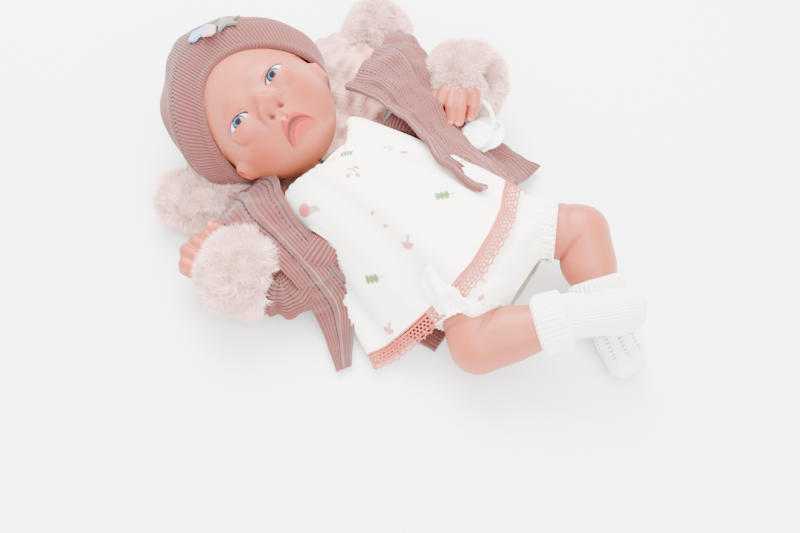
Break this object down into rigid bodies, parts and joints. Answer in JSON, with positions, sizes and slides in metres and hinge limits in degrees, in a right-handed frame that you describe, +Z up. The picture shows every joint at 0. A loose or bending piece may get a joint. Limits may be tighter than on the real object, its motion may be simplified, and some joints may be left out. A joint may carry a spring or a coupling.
{
  "type": "baby doll",
  "caption": "Soft-bodied baby doll lying on its back in printed dress, bloomers, knitted hat, fur-cuffed cardigan and socks, holding a pacifier, with a sound module in its tummy.",
  "frame": {"origin": "on the flat back panel of the cardigan, which lies on the floor, under the middle of the doll's body", "axes": "X along the body with the head at -X and the feet at +X, +Y the doll's left side, +Z up from the floor"},
  "size_m": [0.3864, 0.2908, 0.1185],
  "materials": {
    "skin_vinyl": "soft satin vinyl",
    "body_cotton": "plain woven cotton, stuffed",
    "tie_nylon": "natural nylon",
    "dress_cotton": "satin cotton with a small nature print",
    "lace_pink": "crochet lace",
    "bloomer_cotton": "light cotton",
    "knit_rose": "fine rib knit",
    "fur_pink": "long faux fur",
    "sock_white": "openwork knit",
    "eye_glass": "polished acrylic",
    "felt_green": "wool felt",
    "felt_blue": "wool felt",
    "felt_pink": "wool felt",
    "case_plastic": "moulded plastic",
    "button_red": "moulded plastic",
    "switch_black": "moulded plastic",
    "steel": "zinc plated",
    "cell_steel": "bright steel can",
    "board_green": "glass-filled board",
    "speaker_black": "moulded plastic and paper cone",
    "lead_black": "insulated wire",
    "pacifier_white": "glossy moulded plastic"
  },
  "bodies": {
    "torso": {"cloth_body": "body_cotton", "neck_socket": "body_cotton", "shoulder_socket_left": "body_cotton", "shoulder_socket_right": "body_cotton", "hip_socket_left": "body_cotton", "hip_socket_right": "body_cotton", "cable_ties": "tie_nylon", "dress": "dress_cotton", "collar": "dress_cotton", "lace_trim": "lace_pink", "bloomers": "bloomer_cotton", "cardigan_back": "knit_rose", "cardigan_front_left": "knit_rose", "cardigan_front_right": "knit_rose", "cardigan_hood": "knit_rose", "hood_fur": "fur_pink", "sound_case_front": "case_plastic", "sound_case_back": "case_plastic", "battery_door": "case_plastic", "door_screw": "steel", "case_screws": "steel", "speaker": "speaker_black", "circuit_board": "board_green", "button_cells": "cell_steel", "button_spring": "steel", "sensor_lead": "lead_black"},
    "head": {"head_shell": "skin_vinyl", "eye_left": "eye_glass", "eye_right": "eye_glass", "hat_crown": "knit_rose", "hat_brim": "knit_rose", "hat_star": "felt_green", "hat_bow": "felt_blue", "hat_drop": "felt_pink", "mouth_sensor": "speaker_black"},
    "arm_left": {"arm_left": "skin_vinyl", "sleeve_left": "knit_rose", "cuff_left": "fur_pink", "pacifier_ring": "pacifier_white"},
    "arm_right": {"arm_right": "skin_vinyl", "sleeve_right": "knit_rose", "cuff_right": "fur_pink"},
    "leg_left": {"leg_left": "skin_vinyl", "sock_left": "sock_white"},
    "leg_right": {"leg_right": "skin_vinyl", "sock_right": "sock_white"},
    "pacifier": {"pacifier_shield": "pacifier_white", "pacifier_button": "pacifier_white", "pacifier_teat": "pacifier_white", "pacifier_magnet": "steel"},
    "press_button": {"press_button": "button_red"},
    "power_switch": {"power_switch": "switch_black"}
  },
  "joints": [
    {"name": "head_turn", "type": "hinge", "parent": "torso", "child": "head", "pos_m": [-0.062, 0, 0.046], "axis": [-0.9427, 0.0959, 0.3196], "range_deg": [-35, 35]},
    {"name": "shoulder_left", "type": "hinge", "parent": "torso", "child": "arm_left", "pos_m": [-0.038, 0.043, 0.043], "axis": [-0.161, 0.9795, -0.1208], "range_deg": [-60, 3], "deforming": ["cardigan_front_left"]},
    {"name": "shoulder_right", "type": "hinge", "parent": "torso", "child": "arm_right", "pos_m": [-0.038, -0.043, 0.042], "axis": [-0.0825, -0.9073, -0.4124], "range_deg": [-60, 3], "deforming": ["cardigan_front_right"]},
    {"name": "hip_left", "type": "hinge", "parent": "torso", "child": "leg_left", "pos_m": [0.066, 0.033, 0.042], "axis": [0.9105, 0.4073, 0.0719], "range_deg": [-7, 0]},
    {"name": "hip_right", "type": "hinge", "parent": "torso", "child": "leg_right", "pos_m": [0.062, -0.032, 0.04], "axis": [0.7299, -0.6424, -0.2336], "range_deg": [0, 60]},
    {"name": "pacifier_swing", "type": "hinge", "parent": "arm_left", "child": "pacifier", "pos_m": [0.00143, 0.08564, 0.04341], "axis": [0.483, 0.8575, 0.1774], "range_deg": [-40, 12]},
    {"name": "button_press", "type": "slide", "parent": "torso", "child": "press_button", "axis": [0, 0, -1], "range_m": [0, 0.0025], "stiffness_N_per_m": 300, "springref_m": -0.001, "deforming": ["button_spring"]},
    {"name": "switch_slide", "type": "slide", "parent": "torso", "child": "power_switch", "axis": [0, 1, 0], "range_m": [0, 0.002]}
  ]
}
